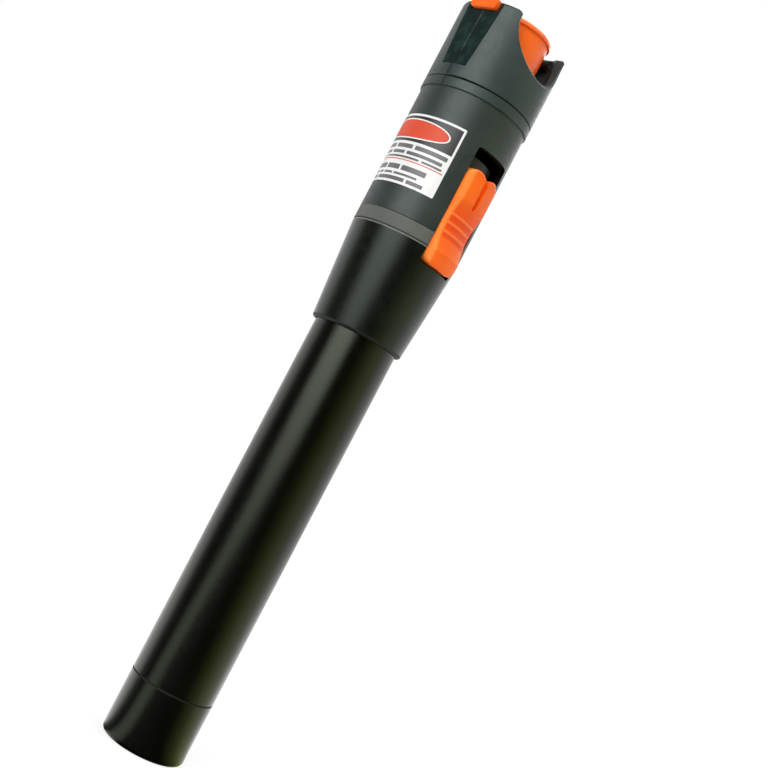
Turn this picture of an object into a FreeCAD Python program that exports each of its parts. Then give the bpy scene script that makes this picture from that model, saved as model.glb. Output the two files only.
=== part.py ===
import FreeCAD, Part

import math
import os

# Visual fault locator: a pen-shaped laser tester for optical fibre.
# Millimetres. Origin at the centre of the tail end face, +Z along the pen towards the fibre port.
# The thumb switch faces -Y, the lid's tab points to -X and the lid's hinge is on +X.

# Clearances used all over: between pieces that slip together, and round pressed or glued ones
slip = 0.05
press = 0.02

# Cells and the barrel round them
cell_r = 7.25
cell_length = 50.5
cell_nub_r = 2.75
cell_nub_height = 1.3
cell_edge = 0.5
cell_clearance = 0.3

# Tail cap, its thread root, seal, contact plate and spring
tail_cap_length = 14.6
tail_cap_floor = 3.0
tail_cap_rounding = 1.0
spigot_length = 6.0
spigot_wall = 0.6
spigot_clearance = 0.2
thread_depth = 0.45
thread_clearance = 0.2
seal_section = 0.8
seal_flats = 8
seal_squeeze_gap = 0.1
tube_rim_wall = 0.7
plate_thickness = 0.8
plate_clearance = 0.3
plate_boss_height = 0.6
spring_length = 5.7
spring_wire_r = 0.45
spring_coil_r = 4.6
spring_turns = 3.5
spring_end_gap = 0.03
spring_runs_per_turn = 12
spring_wire_flats = 8
seam_chamfer = 0.15

# Neck cone between barrel and head
neck_socket_depth = 11.4
neck_length = 22.9
neck_step = 1.0
neck_lip = 0.6

# Head barrel
head_r = 12.5
head_wall = 1.5
head_length = 29.1
band_height = 3.2
band_thickness = 1.7
head_spigot_wall = 0.75
head_step_height = 1.2
head_shoulder_height = 1.8
head_nose_wall = 1.7
head_nose_height = 3.5
head_nose_step = 0.85

# Positive contact under the head
pad_thickness = 0.5
pad_r = 3.0
rivet_r = 1.0
rivet_head_r = 1.6
rivet_head_height = 0.4
insulator_thickness = 1.2

# Thumb switch
slot_width = 10.9
slot_corner = 0.8
slot_below_neck_top = 3.5
slot_end_gap = 0.35
slot_side_gap = 0.25
switch_travel = 4.0
button_length = 22.55
button_proud = 0.75
button_edge = 0.6
button_foot_corner = 2.6
button_shoulder = 2.3
button_lobe_x = 2.0
button_lobe_rounding = 3.0
button_top_notch = 0.9
groove_top_width = 1.7
groove_foot_width = 1.1
groove_foot_corner = 0.5
groove_depth = 0.8
groove_length = 7.9
scoop_bottom = 3.4
scoop_top = 15.6
scoop_depth = 0.95
ridge_heights = (7.9, 9.9, 11.9)
ridge_rise = 0.35
ridge_lead = 0.35
ridge_fall = 1.0
ridge_root = 0.3
ridge_crest = 0.15
ridge_width = 8.0
lug_width = 3.0
lug_height = 4.0
lug_length = 2.4
lug_above_foot = 9.5
fork_depth = 1.4
fork_gap = 0.1
carrier_thickness = 0.75
carrier_gap = 0.3
carrier_side_overlap = 0.8
carrier_end_overlap = 0.4
carrier_top_drop = 1.7

# Circuit board with its slide switch
board_thickness = 1.2
board_width = 17.0
board_foot_gap = 0.3
board_top_gap = 0.6
switch_body_width = 6.8
switch_body_length = 13.0
switch_body_height = 4.0
switch_body_wall = 0.8
lever_width = 1.5
lever_foot_half = 2.2
lever_gap = 0.3
lever_reach = 1.2
screw_x = 5.5
screw_end_inset = 4.0
screw_shank_r = 0.8
screw_shank_length = 5.2
screw_head_r = 1.9
screw_head_height = 1.2
screw_post_r = 2.0

# Chassis and laser module
chassis_wall = 1.5
chassis_floor = 1.2
chassis_clamp_wall = 1.4
chassis_clamp_height = 4.0
chassis_web = 1.6
barrel_r = 4.5
barrel_length = 15.5
barrel_end_wall = 1.0
aperture_r = 1.0
diode_flange_r = 2.8
diode_flange_height = 1.2
diode_can_r = 2.35
diode_can_height = 2.3
diode_lead_r = 0.22
diode_lead_circle_r = 1.27
diode_lead_length = 5.0
lens_height = 2.0
lens_above_diode = 5.0

# Fibre port
ferrule_r = 1.25
sleeve_wall = 0.35
sleeve_split = 0.3
mouth_lip = 0.8
mouth_clearance = 0.1
mouth_chamfer = 0.25
nose_r = 3.2
nose_height = 5.1
nose_chamfer = 0.4
adapter_flange_height = 1.6
adapter_skirt_wall = 1.1
adapter_skirt_length = 4.0

# Collar ring and end cap
collar_height = 2.2
collar_proud = 0.35
cap_seam = 0.2
cap_height = 18.25
cap_wall = 1.6
cap_floor = 1.6
cap_edge = 0.5
notch_r = 9.3
notch_centre_drop = 0.95
notch_corner = 0.8
relief_foot_depth = 0.45
relief_top_depth = 1.0
relief_height = 15.6

# Hinged dust lid
lid_r = 8.15
lid_wall = 1.2
lid_top = 1.6
lid_rise = 0.3
lid_height = 10.9
lid_flange = 0.4
lid_flange_height = 1.1
lid_rim = 0.7
tab_width = 7.0
tab_thickness = 2.2
tab_proud = 0.1
tab_rounding = 0.5
tab_gap = 0.25
hinge_width = 4.6
hinge_gap = 0.3
hinge_pin_r = 0.6
hinge_pin_length = 8.6
hinge_inset = 2.2
hinge_drop = 1.5
hinge_eye_wall = 0.6
hinge_boss_wall = 0.75

# Radii, worked outwards from the cells to the barrel
tube_bore = cell_r + cell_clearance
spigot_bore = cell_r + spigot_clearance
thread_root_r = spigot_bore + spigot_wall
thread_r = thread_root_r + thread_depth
thread_bore = thread_r + thread_clearance
seal_r = thread_root_r + seal_section
seal_seat_r = seal_r + seal_squeeze_gap
seal_seat_depth = seal_section + 2 * seal_squeeze_gap
tube_r = seal_seat_r + tube_rim_wall

# Radii, worked inwards from the head's outside
band_bore = head_r - band_thickness
head_spigot_r = band_bore - slip
head_spigot_bore = head_spigot_r - head_spigot_wall
head_bore = head_r - head_wall
head_nose_r = head_r - head_nose_step
head_nose_bore = head_nose_r - head_nose_wall
carrier_r = head_spigot_bore - carrier_gap
carrier_bore = carrier_r - carrier_thickness
chassis_r = head_spigot_bore - carrier_gap
cap_r = head_r + collar_proud
cap_bore = cap_r - cap_wall
sleeve_r = ferrule_r + sleeve_wall
button_r = head_r + button_proud

# Heights, from the tail end up
spring_z = tail_cap_floor + plate_thickness
rear_cell_z = spring_z + spring_length
front_cell_z = rear_cell_z + cell_length
cells_top_z = front_cell_z + cell_length
shoulder_z = cells_top_z + pad_thickness
neck_z = shoulder_z - neck_socket_depth
neck_top_z = neck_z + neck_length
deck_z = shoulder_z + insulator_thickness
head_z = neck_top_z + band_height
head_top_z = head_z + head_length
head_nose_z = head_top_z + head_nose_height
cap_floor_z = head_nose_z + adapter_flange_height
cap_z = head_top_z + collar_height + cap_seam
cap_top_z = cap_z + cap_height
port_z = cap_floor_z + nose_height

# Thumb switch places
slot_z = neck_top_z - slot_below_neck_top
slot_length = button_length + switch_travel + 2 * slot_end_gap
button_z = slot_z + slot_end_gap
button_half = slot_width / 2 - slot_side_gap
lug_z = button_z + lug_above_foot
lever_z = lug_z
switch_centre_z = lever_z + switch_travel / 2

# Laser module and board places
sleeve_z = port_z - mouth_lip
barrel_top_z = head_nose_z - adapter_skirt_length - mouth_lip
barrel_z = barrel_top_z - barrel_length
board_back_y = -diode_lead_circle_r - diode_lead_r
board_front_y = board_back_y - board_thickness
board_z = deck_z + chassis_floor + board_foot_gap
board_top_z = barrel_z - board_top_gap
switch_face_y = board_front_y - switch_body_height

# Lid places
lid_bore = lid_r - lid_wall
lid_top_z = cap_top_z + lid_rise
lid_z = lid_top_z - lid_height
lid_flange_z = lid_top_z - lid_flange_height
tab_z = lid_top_z - tab_thickness
hinge_x = cap_r - hinge_inset
hinge_z = cap_top_z - hinge_drop
hinge_eye_r = hinge_pin_r + hinge_eye_wall
hinge_boss_r = hinge_pin_r + hinge_boss_wall
hinge_gate_half = hinge_width / 2 + hinge_gap

OVER = 1.0  # how far a cutting tool runs past the face it cuts
SINK = 0.5  # how far one solid runs into another that it is fused with
ROUNDING_STEPS = 4  # straight steps in the rounding of a turned corner


def vec(x, y, z):
    return FreeCAD.Vector(x, y, z)


def rounded_corner(before, here, after, rounding):
    """Start, middle and end of the tangent arc that rounds one corner."""
    to_before = (before - here).normalize()
    to_after = (after - here).normalize()
    half = to_before.getAngle(to_after) / 2
    reach = rounding / math.tan(half)
    bisector = (to_before + to_after).normalize()
    middle = here + bisector * (rounding / math.sin(half) - rounding)
    return here + to_before * reach, middle, here + to_after * reach


def outline(corners, place):
    """Closed face from (u, v, rounding) corners; place turns u, v into a point in space."""
    points = [place(u, v) for u, v, _ in corners]
    stretches = []
    for i, (_, _, rounding) in enumerate(corners):
        here = points[i]
        if rounding:
            after = points[(i + 1) % len(points)]
            stretches.append(rounded_corner(points[i - 1], here, after, rounding))
        else:
            stretches.append((here,))
    edges = []
    for i, stretch in enumerate(stretches):
        if len(stretch) == 3:
            edges.append(Part.Arc(*stretch).toShape())
        start = stretch[-1]
        end = stretches[(i + 1) % len(stretches)][0]
        if start.distanceToPoint(end) > 1e-6:
            edges.append(Part.LineSegment(start, end).toShape())
    return Part.Face(Part.Wire(edges))


def stepped_corner(before, here, after, rounding):
    """Points that round one corner in short straight steps."""
    start, middle, end = rounded_corner(before, here, after, rounding)
    toward = (middle - here).normalize()
    centre = middle + toward * rounding
    sweep = (start - centre).getAngle(end - centre)
    points = []
    for step in range(ROUNDING_STEPS + 1):
        part = sweep * step / ROUNDING_STEPS
        mix = (start - centre) * math.sin(sweep - part) + (end - centre) * math.sin(part)
        points.append(centre + mix * (1 / math.sin(sweep)))
    return points


def turned(corners):
    """Solid of revolution about Z from (radius, height, rounding) corners."""
    points = [vec(r, 0, z) for r, z, _ in corners]
    path = []
    for i, (_, _, rounding) in enumerate(corners):
        if rounding:
            after = points[(i + 1) % len(points)]
            path += stepped_corner(points[i - 1], points[i], after, rounding)
        else:
            path.append(points[i])
    face = Part.Face(Part.makePolygon(path + path[:1]))
    return face.revolve(vec(0, 0, 0), vec(0, 0, 1), 360)


def front_prism(corners, y_near, y_far):
    """Prism along Y from an (x, z, rounding) outline."""
    face = outline(corners, lambda x, z: vec(x, y_near, z))
    return face.extrude(vec(0, y_far - y_near, 0))


def side_prism(corners, half_width):
    """Prism centred on the XZ plane from an (x, z, rounding) outline."""
    return front_prism(corners, -half_width, half_width)


def box(x0, x1, y0, y1, z0, z1):
    return Part.makeBox(x1 - x0, y1 - y0, z1 - z0, vec(x0, y0, z0))


def rod(r, z0, z1, x=0, y=0):
    """Round bar along Z."""
    return Part.makeCylinder(r, z1 - z0, vec(x, y, z0))


def rod_y(r, x, z, y0, y1):
    """Round bar along Y."""
    return Part.makeCylinder(r, y1 - y0, vec(x, y0, z), vec(0, 1, 0))


def tube(r_out, r_in, z0, z1):
    return rod(r_out, z0, z1).cut(rod(r_in, z0 - OVER, z1 + OVER))


# ---------------------------------------------------------------- tail end and barrel


def tail_cap():
    """Cup with a threaded spigot that screws into the barrel."""
    spigot_top = tail_cap_length + spigot_length
    root_top = tail_cap_length + seal_seat_depth + seam_chamfer
    return turned([
        (0, 0, 0),
        (tube_r, 0, tail_cap_rounding),
        (tube_r, tail_cap_length - seam_chamfer, 0),
        (tube_r - seam_chamfer, tail_cap_length, 0),
        (thread_root_r, tail_cap_length, 0),
        (thread_root_r, root_top, 0),
        (thread_r, root_top + thread_depth, 0),
        (thread_r, spigot_top - seam_chamfer, 0),
        (thread_r - seam_chamfer, spigot_top, 0),
        (spigot_bore, spigot_top, 0),
        (spigot_bore, tail_cap_floor, 0),
        (0, tail_cap_floor, 0),
    ])


def tail_seal():
    """O-ring in the root of the spigot, its section with flats."""
    flat_r = seal_section / 2
    corner_r = flat_r / math.cos(math.pi / seal_flats)
    corners = []
    for k in range(seal_flats):
        angle = 2 * math.pi * (k + 0.5) / seal_flats
        r = thread_root_r + flat_r + corner_r * math.cos(angle)
        z = tail_cap_length + flat_r + corner_r * math.sin(angle)
        corners.append((r, z, 0))
    return turned(corners)


def tail_contact_plate():
    """Disc with a raised centre that keeps the spring in place."""
    plate = rod(spigot_bore - plate_clearance, tail_cap_floor, spring_z)
    boss_r = spring_coil_r - spring_wire_r - plate_clearance
    return plate.fuse(rod(boss_r, spring_z - SINK, spring_z + plate_boss_height)).removeSplitter()


def tail_spring():
    """Helical spring between plate and rear cell, its wire with flats and in short straight runs."""
    rise = spring_length - 2 * spring_wire_r - spring_end_gap
    runs = round(spring_turns * spring_runs_per_turn)
    points = []
    for i in range(runs + 1):
        angle = 2 * math.pi * spring_turns * i / runs
        x = spring_coil_r * math.cos(angle)
        y = spring_coil_r * math.sin(angle)
        points.append(vec(x, y, spring_z + spring_wire_r + rise * i / runs))
    along = (points[1] - points[0]).normalize()
    across = vec(0, 0, 1).cross(along).normalize()
    upward = along.cross(across)
    corners = []
    for k in range(spring_wire_flats + 1):
        angle = 2 * math.pi * (k + 0.5) / spring_wire_flats
        corners.append(points[0] + (across * math.cos(angle) + upward * math.sin(angle)) * spring_wire_r)
    right_corners = 1
    path = Part.makePolygon(points)
    return path.makePipeShell([Part.makePolygon(corners)], True, False, right_corners)


def battery_tube():
    """Barrel, bored for the cells, with the thread's bore and the seal's seat at the tail."""
    z0 = tail_cap_length
    thread_end = z0 + spigot_length + seal_squeeze_gap
    return turned([
        (seal_seat_r, z0, 0),
        (tube_r - seam_chamfer, z0, 0),
        (tube_r, z0 + seam_chamfer, 0),
        (tube_r, shoulder_z, 0),
        (tube_bore, shoulder_z, 0),
        (tube_bore, thread_end, 0),
        (thread_bore, thread_end, 0),
        (thread_bore, z0 + seal_seat_depth + seam_chamfer, 0),
        (seal_seat_r, z0 + seal_seat_depth, 0),
    ])


def cell(z0):
    """One AA cell, positive end up."""
    can_top = z0 + cell_length - cell_nub_height
    return turned([
        (0, z0, 0),
        (cell_r - cell_edge, z0, 0),
        (cell_r, z0 + cell_edge, 0),
        (cell_r, can_top - cell_edge, 0),
        (cell_r - cell_edge, can_top, 0),
        (cell_nub_r, can_top, 0),
        (cell_nub_r, z0 + cell_length, 0),
        (0, z0 + cell_length, 0),
    ])


def battery_rear():
    return cell(rear_cell_z)


def battery_front():
    return cell(front_cell_z)


def front_contact():
    """Rivet whose pad meets the front cell."""
    return turned([
        (0, cells_top_z, 0),
        (pad_r, cells_top_z, 0),
        (pad_r, shoulder_z, 0),
        (rivet_r, shoulder_z, 0),
        (rivet_r, deck_z, 0),
        (rivet_head_r, deck_z, 0),
        (rivet_head_r, deck_z + rivet_head_height, 0),
        (0, deck_z + rivet_head_height, 0),
    ])


def contact_insulator():
    """Board disc clamped between the barrel and the head."""
    return tube(head_spigot_r, rivet_r, shoulder_z, deck_z)


# ---------------------------------------------------------------- neck and head shells


def switch_slot():
    """Cutting tool for the thumb switch's slot, through the -Y wall."""
    half = slot_width / 2
    top = slot_z + slot_length
    corners = [
        (-half, slot_z, slot_corner),
        (half, slot_z, slot_corner),
        (half, top, slot_corner),
        (-half, top, slot_corner),
    ]
    return front_prism(corners, -head_r - OVER, -head_spigot_bore + carrier_thickness + OVER)


def neck_cone():
    """Cone with a rounded foot lip over the barrel and a bore for the head's spigot."""
    foot_r = tube_r + neck_step
    shell = turned([
        (tube_r + slip, neck_z + seam_chamfer, 0),
        (tube_r + slip + seam_chamfer, neck_z, 0),
        (foot_r, neck_z, neck_lip),
        (head_r, neck_top_z - seam_chamfer, 0),
        (head_r - seam_chamfer, neck_top_z, 0),
        (band_bore, neck_top_z, 0),
        (band_bore, shoulder_z, 0),
        (tube_r + slip, shoulder_z, 0),
    ])
    return shell.cut(switch_slot())


def band_ring():
    """Matte band between neck and head, open at the switch slot."""
    return tube(head_r, band_bore, neck_top_z, head_z).cut(switch_slot())


def head_body():
    """Head barrel: spigot into the neck, thin wall round the works, nose for the end cap."""
    step_z = head_z + head_step_height
    ceiling_z = head_top_z - head_shoulder_height
    shell = turned([
        (head_spigot_bore, deck_z, 0),
        (head_spigot_r, deck_z, 0),
        (head_spigot_r, head_z, 0),
        (head_r - seam_chamfer, head_z, 0),
        (head_r, head_z + seam_chamfer, 0),
        (head_r, head_top_z, 0),
        (head_nose_r, head_top_z, 0),
        (head_nose_r, head_nose_z, 0),
        (head_nose_bore, head_nose_z, 0),
        (head_nose_bore, ceiling_z, 0),
        (head_bore, ceiling_z, 0),
        (head_bore, step_z, 0),
        (head_spigot_bore, step_z, 0),
    ])
    return shell.cut(switch_slot())


def head_ring():
    """Collar that covers the joint between head and end cap."""
    z1 = head_top_z + collar_height
    return turned([
        (head_nose_r + slip, head_top_z, 0),
        (cap_r - seam_chamfer, head_top_z, 0),
        (cap_r, head_top_z + seam_chamfer, 0),
        (cap_r, z1 - seam_chamfer, 0),
        (cap_r - seam_chamfer, z1, 0),
        (head_nose_r + slip, z1, 0),
    ])


# ---------------------------------------------------------------- end cap and lid


def notch_tool():
    """Prism along Y with the round notch's outline and rounded upper corners."""
    centre_z = cap_top_z - notch_centre_drop
    corner_z = cap_top_z - notch_corner
    reach = notch_r + notch_corner
    corner_x = math.sqrt(reach ** 2 - (corner_z - centre_z) ** 2)
    share = notch_r / reach
    touch_x = corner_x * share
    touch_z = centre_z + (corner_z - centre_z) * share
    y0 = -cap_r - OVER
    floor = vec(0, y0, centre_z - notch_r)
    edges = [Part.Arc(vec(-touch_x, y0, touch_z), floor, vec(touch_x, y0, touch_z)).toShape()]
    roof_z = cap_top_z + OVER
    for side in (1, -1):
        centre = vec(side * corner_x, y0, corner_z)
        start = vec(side * touch_x, y0, touch_z)
        end = vec(side * corner_x, y0, cap_top_z)
        toward = ((start - centre).normalize() + (end - centre).normalize()).normalize()
        edges.append(Part.Arc(start, centre + toward * notch_corner, end).toShape())
        edges.append(Part.LineSegment(end, vec(side * corner_x, y0, roof_z)).toShape())
    edges.append(Part.LineSegment(vec(-corner_x, y0, roof_z), vec(corner_x, y0, roof_z)).toShape())
    face = Part.Face(Part.Wire(Part.__sortEdges__(edges)))
    return face.extrude(vec(0, 2 * (cap_r + OVER), 0))


def edge_points(edge):
    """Middle and ends of an edge."""
    middle = edge.valueAt((edge.FirstParameter + edge.LastParameter) / 2)
    return [middle] + [vertex.Point for vertex in edge.Vertexes]


def lies_on_cylinder(edge, r):
    return all(abs(math.hypot(p.x, p.y) - r) < 1e-4 for p in edge_points(edge))


def bevel_lobes(shell):
    """Bevels the cap's outer edges along the two lobes' tops and round the notches."""
    notch_floor_z = cap_top_z - notch_centre_drop - notch_r
    edges = []
    for edge in shell.Edges:
        middle = edge_points(edge)[0]
        if lies_on_cylinder(edge, cap_r) and middle.z > notch_floor_z - SINK:
            edges.append(edge)
    return shell.makeChamfer(cap_edge, edges)


def relief_tool(side):
    """Wedge outside the inclined thumb relief on one lobe; side is -1 or 1."""
    foot_z = cap_top_z - relief_height
    far = cap_r + OVER
    corners = [
        (side * (cap_r - relief_foot_depth), foot_z, 0),
        (side * far, foot_z, 0),
        (side * far, cap_top_z + OVER, 0),
        (side * (cap_r - relief_top_depth), cap_top_z + OVER, 0),
    ]
    return side_prism(corners, notch_r)


def hinge_bosses():
    """Bosses inside the hinge lobe that back the pin's holes."""
    half = hinge_pin_length / 2
    inside_wall = rod(cap_bore + cap_wall / 2, cap_floor_z, cap_top_z)
    bosses = []
    for y0 in (-half, hinge_gate_half):
        boss = rod_y(hinge_boss_r, hinge_x, hinge_z, y0, y0 + half - hinge_gate_half)
        bosses.append(boss.common(inside_wall))
    return bosses


def head_cap():
    """End cap with a floor, two round notches, two thumb reliefs, the tab's gate and the hinge's gate."""
    shell = turned([
        (head_nose_r + slip, cap_z, 0),
        (cap_r - seam_chamfer, cap_z, 0),
        (cap_r, cap_z + seam_chamfer, 0),
        (cap_r, cap_top_z, 0),
        (cap_bore + seam_chamfer, cap_top_z, 0),
        (cap_bore, cap_top_z - seam_chamfer, 0),
        (cap_bore, cap_floor_z + cap_floor, 0),
        (nose_r + mouth_clearance, cap_floor_z + cap_floor, 0),
        (nose_r + mouth_clearance, cap_floor_z, 0),
        (head_nose_r + slip, cap_floor_z, 0),
    ])
    shell = bevel_lobes(shell.cut(notch_tool()))
    shell = shell.cut(relief_tool(-1)).cut(relief_tool(1))
    shell = shell.fuse(hinge_bosses())
    far = cap_r + OVER
    roof_z = cap_top_z + OVER
    tab_gate_half = tab_width / 2 + tab_gap
    tab_gate = box(-far, -lid_r, -tab_gate_half, tab_gate_half, tab_z - tab_gap, roof_z)
    gate_floor_z = hinge_z - hinge_eye_r - hinge_gap
    hinge_gate = box(lid_r, far, -hinge_gate_half, hinge_gate_half, gate_floor_z, roof_z)
    half = hinge_pin_length / 2
    pin_hole = rod_y(hinge_pin_r + press, hinge_x, hinge_z, -half, half)
    return shell.cut(tab_gate).cut(hinge_gate).cut(pin_hole).removeSplitter()


def lid_hinge_pin():
    half = hinge_pin_length / 2
    return rod_y(hinge_pin_r, hinge_x, hinge_z, -half, half)


def lid_tab():
    """Finger tab that closes the gate in the far lobe."""
    half = tab_width / 2
    reach = cap_r + tab_proud
    side_view = side_prism([
        (-lid_bore, tab_z, 0),
        (-reach, tab_z, tab_rounding),
        (-reach, lid_top_z, tab_rounding),
        (-lid_bore, lid_top_z, 0),
    ], half)
    end_view = outline([
        (-half, tab_z, tab_rounding),
        (half, tab_z, tab_rounding),
        (half, lid_top_z, tab_rounding),
        (-half, lid_top_z, tab_rounding),
    ], lambda y, z: vec(-reach - OVER, y, z))
    return side_view.common(end_view.extrude(vec(reach + OVER, 0, 0)))


def lid_arm():
    """Arm and eye that hang the lid on its pin."""
    half = hinge_width / 2
    arm = box(lid_bore, hinge_x, -half, half, hinge_z - hinge_eye_r, hinge_z + hinge_eye_r)
    return arm.fuse(rod_y(hinge_eye_r, hinge_x, hinge_z, -half, half))


def dust_lid():
    """Hollow lid with a rim flange, its tab and hinge arm in one moulding."""
    flange_r = lid_r + lid_flange
    shell = turned([
        (lid_bore, lid_z, 0),
        (lid_r, lid_z, 0),
        (lid_r, lid_flange_z, 0),
        (flange_r, lid_flange_z, 0),
        (flange_r, lid_top_z, lid_rim),
        (0, lid_top_z, 0),
        (0, lid_top_z - lid_top, 0),
        (lid_bore, lid_top_z - lid_top, 0),
    ])
    half = hinge_width / 2
    bore = rod_y(hinge_pin_r + slip, hinge_x, hinge_z, -half - OVER, half + OVER)
    return shell.fuse([lid_tab(), lid_arm()]).cut(bore).removeSplitter()


# ---------------------------------------------------------------- thumb switch


def button_blank():
    """Curved plate with rounded foot corners and a two-lobed top, seated on the carrier."""
    top = button_z + button_length
    corners = [
        (-button_half, button_z, button_foot_corner),
        (button_half, button_z, button_foot_corner),
        (button_half, top, button_shoulder),
        (button_lobe_x, top, button_lobe_rounding),
        (0, top - button_top_notch, 0),
        (-button_lobe_x, top, button_lobe_rounding),
        (-button_half, top, button_shoulder),
    ]
    plate = tube(button_r, carrier_r + press, button_z - OVER, top + OVER)
    return plate.common(front_prism(corners, -button_r - OVER, 0))


def centre_groove():
    """Cutting tool for the tapered groove that runs down from the button's top."""
    top = button_z + button_length
    foot_half = groove_foot_width / 2
    top_half = groove_top_width / 2
    corners = [
        (-foot_half, top - groove_length, groove_foot_corner),
        (foot_half, top - groove_length, groove_foot_corner),
        (top_half, top + OVER, 0),
        (-top_half, top + OVER, 0),
    ]
    return front_prism(corners, -button_r - OVER, -button_r + groove_depth)


def soften_button(blank):
    """Rounds the outline's edges on the button's face; the groove's own edges stay sharp."""
    groove_foot_z = button_z + button_length - groove_length
    edges = []
    for edge in blank.Edges:
        middle = edge_points(edge)[0]
        on_groove = abs(middle.x) < groove_top_width / 2 and middle.z > groove_foot_z - SINK
        if lies_on_cylinder(edge, button_r) and not on_groove:
            edges.append(edge)
    return blank.makeFillet(button_edge, edges)


def scoop_arc():
    """Centre height, centre radius and arc radius of the thumb scoop's hollow."""
    half = (scoop_top - scoop_bottom) / 2
    arc_r = (half ** 2 + scoop_depth ** 2) / (2 * scoop_depth)
    centre_z = button_z + (scoop_top + scoop_bottom) / 2
    return centre_z, button_r - scoop_depth + arc_r, arc_r


def scoop_tool():
    """Ring about Z whose rounded inside leaves the hollow in the button's curved face."""
    low_z = button_z + scoop_bottom
    high_z = button_z + scoop_top
    low = vec(button_r, 0, low_z)
    deep = vec(button_r - scoop_depth, 0, (low_z + high_z) / 2)
    high = vec(button_r, 0, high_z)
    out = button_r + OVER
    edges = [
        Part.Arc(low, deep, high).toShape(),
        Part.LineSegment(high, vec(out, 0, high_z)).toShape(),
        Part.LineSegment(vec(out, 0, high_z), vec(out, 0, low_z)).toShape(),
        Part.LineSegment(vec(out, 0, low_z), low).toShape(),
    ]
    return Part.Face(Part.Wire(edges)).revolve(vec(0, 0, 0), vec(0, 0, 1), 360)


def thumb_ridges():
    """Saw-toothed ridges across the scoop's hollow, steep above and easy below."""
    centre_z, centre_r, arc_r = scoop_arc()
    half = ridge_width / 2
    ridges = []
    for height in ridge_heights:
        z = button_z + height
        floor_r = centre_r - math.sqrt(arc_r ** 2 - (z - centre_z) ** 2)
        ring = turned([
            (floor_r - ridge_root, z - ridge_fall, 0),
            (floor_r + ridge_rise, z, ridge_crest),
            (floor_r - ridge_root, z + ridge_lead, 0),
        ])
        front = box(-half, half, -button_r - OVER, 0, z - ridge_fall - OVER, z + ridge_lead + OVER)
        ridges.append(ring.common(front))
    return ridges


def button_lug():
    """Lug through the carrier, forked over the lever."""
    half_x = lug_width / 2
    half_z = lug_height / 2
    tip_y = -carrier_r + lug_length
    lug = box(-half_x, half_x, -carrier_r - OVER, tip_y, lug_z - half_z, lug_z + half_z)
    fork_half = lever_width / 2 + fork_gap
    fork = box(-half_x - OVER, half_x + OVER, tip_y - fork_depth, tip_y + OVER,
               lever_z - fork_half, lever_z + fork_half)
    return lug.cut(fork)


def switch_button():
    """Orange thumb button."""
    blank = soften_button(button_blank().cut(centre_groove()))
    blank = blank.cut(scoop_tool())
    return blank.fuse(thumb_ridges() + [button_lug()]).removeSplitter()


def carrier_half_angle():
    """Half the arc that the carrier covers, in degrees."""
    return math.degrees(math.asin((slot_width / 2 + carrier_side_overlap) / head_spigot_bore))


def switch_carrier():
    """Curved shutter that slides behind the slot and carries the button."""
    z0 = slot_z - switch_travel - carrier_end_overlap
    z1 = slot_z + slot_length - carrier_top_drop
    half_angle = carrier_half_angle()
    start = vec(carrier_bore, 0, z0)
    section = Part.Face(Part.Wire([
        Part.LineSegment(start, vec(carrier_r, 0, z0)).toShape(),
        Part.LineSegment(vec(carrier_r, 0, z0), vec(carrier_r, 0, z1)).toShape(),
        Part.LineSegment(vec(carrier_r, 0, z1), vec(carrier_bore, 0, z1)).toShape(),
        Part.LineSegment(vec(carrier_bore, 0, z1), start).toShape(),
    ]))
    section.rotate(vec(0, 0, 0), vec(0, 0, 1), -90 - half_angle)
    shutter = section.revolve(vec(0, 0, 0), vec(0, 0, 1), 2 * half_angle)
    half_x = lug_width / 2 + fork_gap
    half_z = lug_height / 2 + fork_gap
    window = box(-half_x, half_x, -carrier_r - OVER, -carrier_bore + OVER, lug_z - half_z, lug_z + half_z)
    return shutter.cut(window)


def switch_lever():
    """Lever with a foot held inside the slide switch."""
    half = lever_width / 2
    inner_face_y = switch_face_y + switch_body_wall
    tip_y = -carrier_r + lug_length - lever_reach
    stem = box(-half, half, tip_y, inner_face_y + lever_gap + SINK, lever_z - half, lever_z + half)
    cavity_half = switch_body_width / 2 - switch_body_wall
    foot = box(-cavity_half + lever_gap, cavity_half - lever_gap,
               inner_face_y + lever_gap, board_front_y - switch_body_wall - lever_gap,
               lever_z - lever_foot_half, lever_z + lever_foot_half)
    return stem.fuse(foot).removeSplitter()


def slide_switch_body():
    """Switch case on the board, slotted for its lever."""
    half_x = switch_body_width / 2
    half_z = switch_body_length / 2
    case = box(-half_x, half_x, switch_face_y, board_front_y,
               switch_centre_z - half_z, switch_centre_z + half_z)
    cavity = box(-half_x + switch_body_wall, half_x - switch_body_wall,
                 switch_face_y + switch_body_wall, board_front_y - switch_body_wall,
                 switch_centre_z - half_z + switch_body_wall, switch_centre_z + half_z - switch_body_wall)
    slot_half_x = lever_width / 2 + lever_gap
    slot_half_z = lever_width / 2 + switch_travel / 2 + lever_gap
    slot = box(-slot_half_x, slot_half_x, switch_face_y - OVER, switch_face_y + switch_body_wall + SINK,
               switch_centre_z - slot_half_z, switch_centre_z + slot_half_z)
    return case.cut(cavity).cut(slot)


# ---------------------------------------------------------------- board, chassis and laser


def screw_places():
    """x, z of the two board screws, on opposite corners."""
    return ((-screw_x, board_z + screw_end_inset), (screw_x, board_top_z - screw_end_inset))


def circuit_board():
    board = box(-board_width / 2, board_width / 2, board_front_y, board_back_y, board_z, board_top_z)
    for x, z in screw_places():
        board = board.cut(rod_y(screw_shank_r + slip, x, z, board_front_y - OVER, board_back_y + OVER))
    return board


def board_screws():
    """The two screws as one group of separate solids."""
    screws = []
    for x, z in screw_places():
        head = rod_y(screw_head_r, x, z, board_front_y - screw_head_height, board_front_y)
        shank = rod_y(screw_shank_r, x, z, board_front_y - screw_head_height / 2,
                      board_front_y + screw_shank_length)
        screws.append(head.fuse(shank).removeSplitter())
    return Part.makeCompound(screws)


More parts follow.
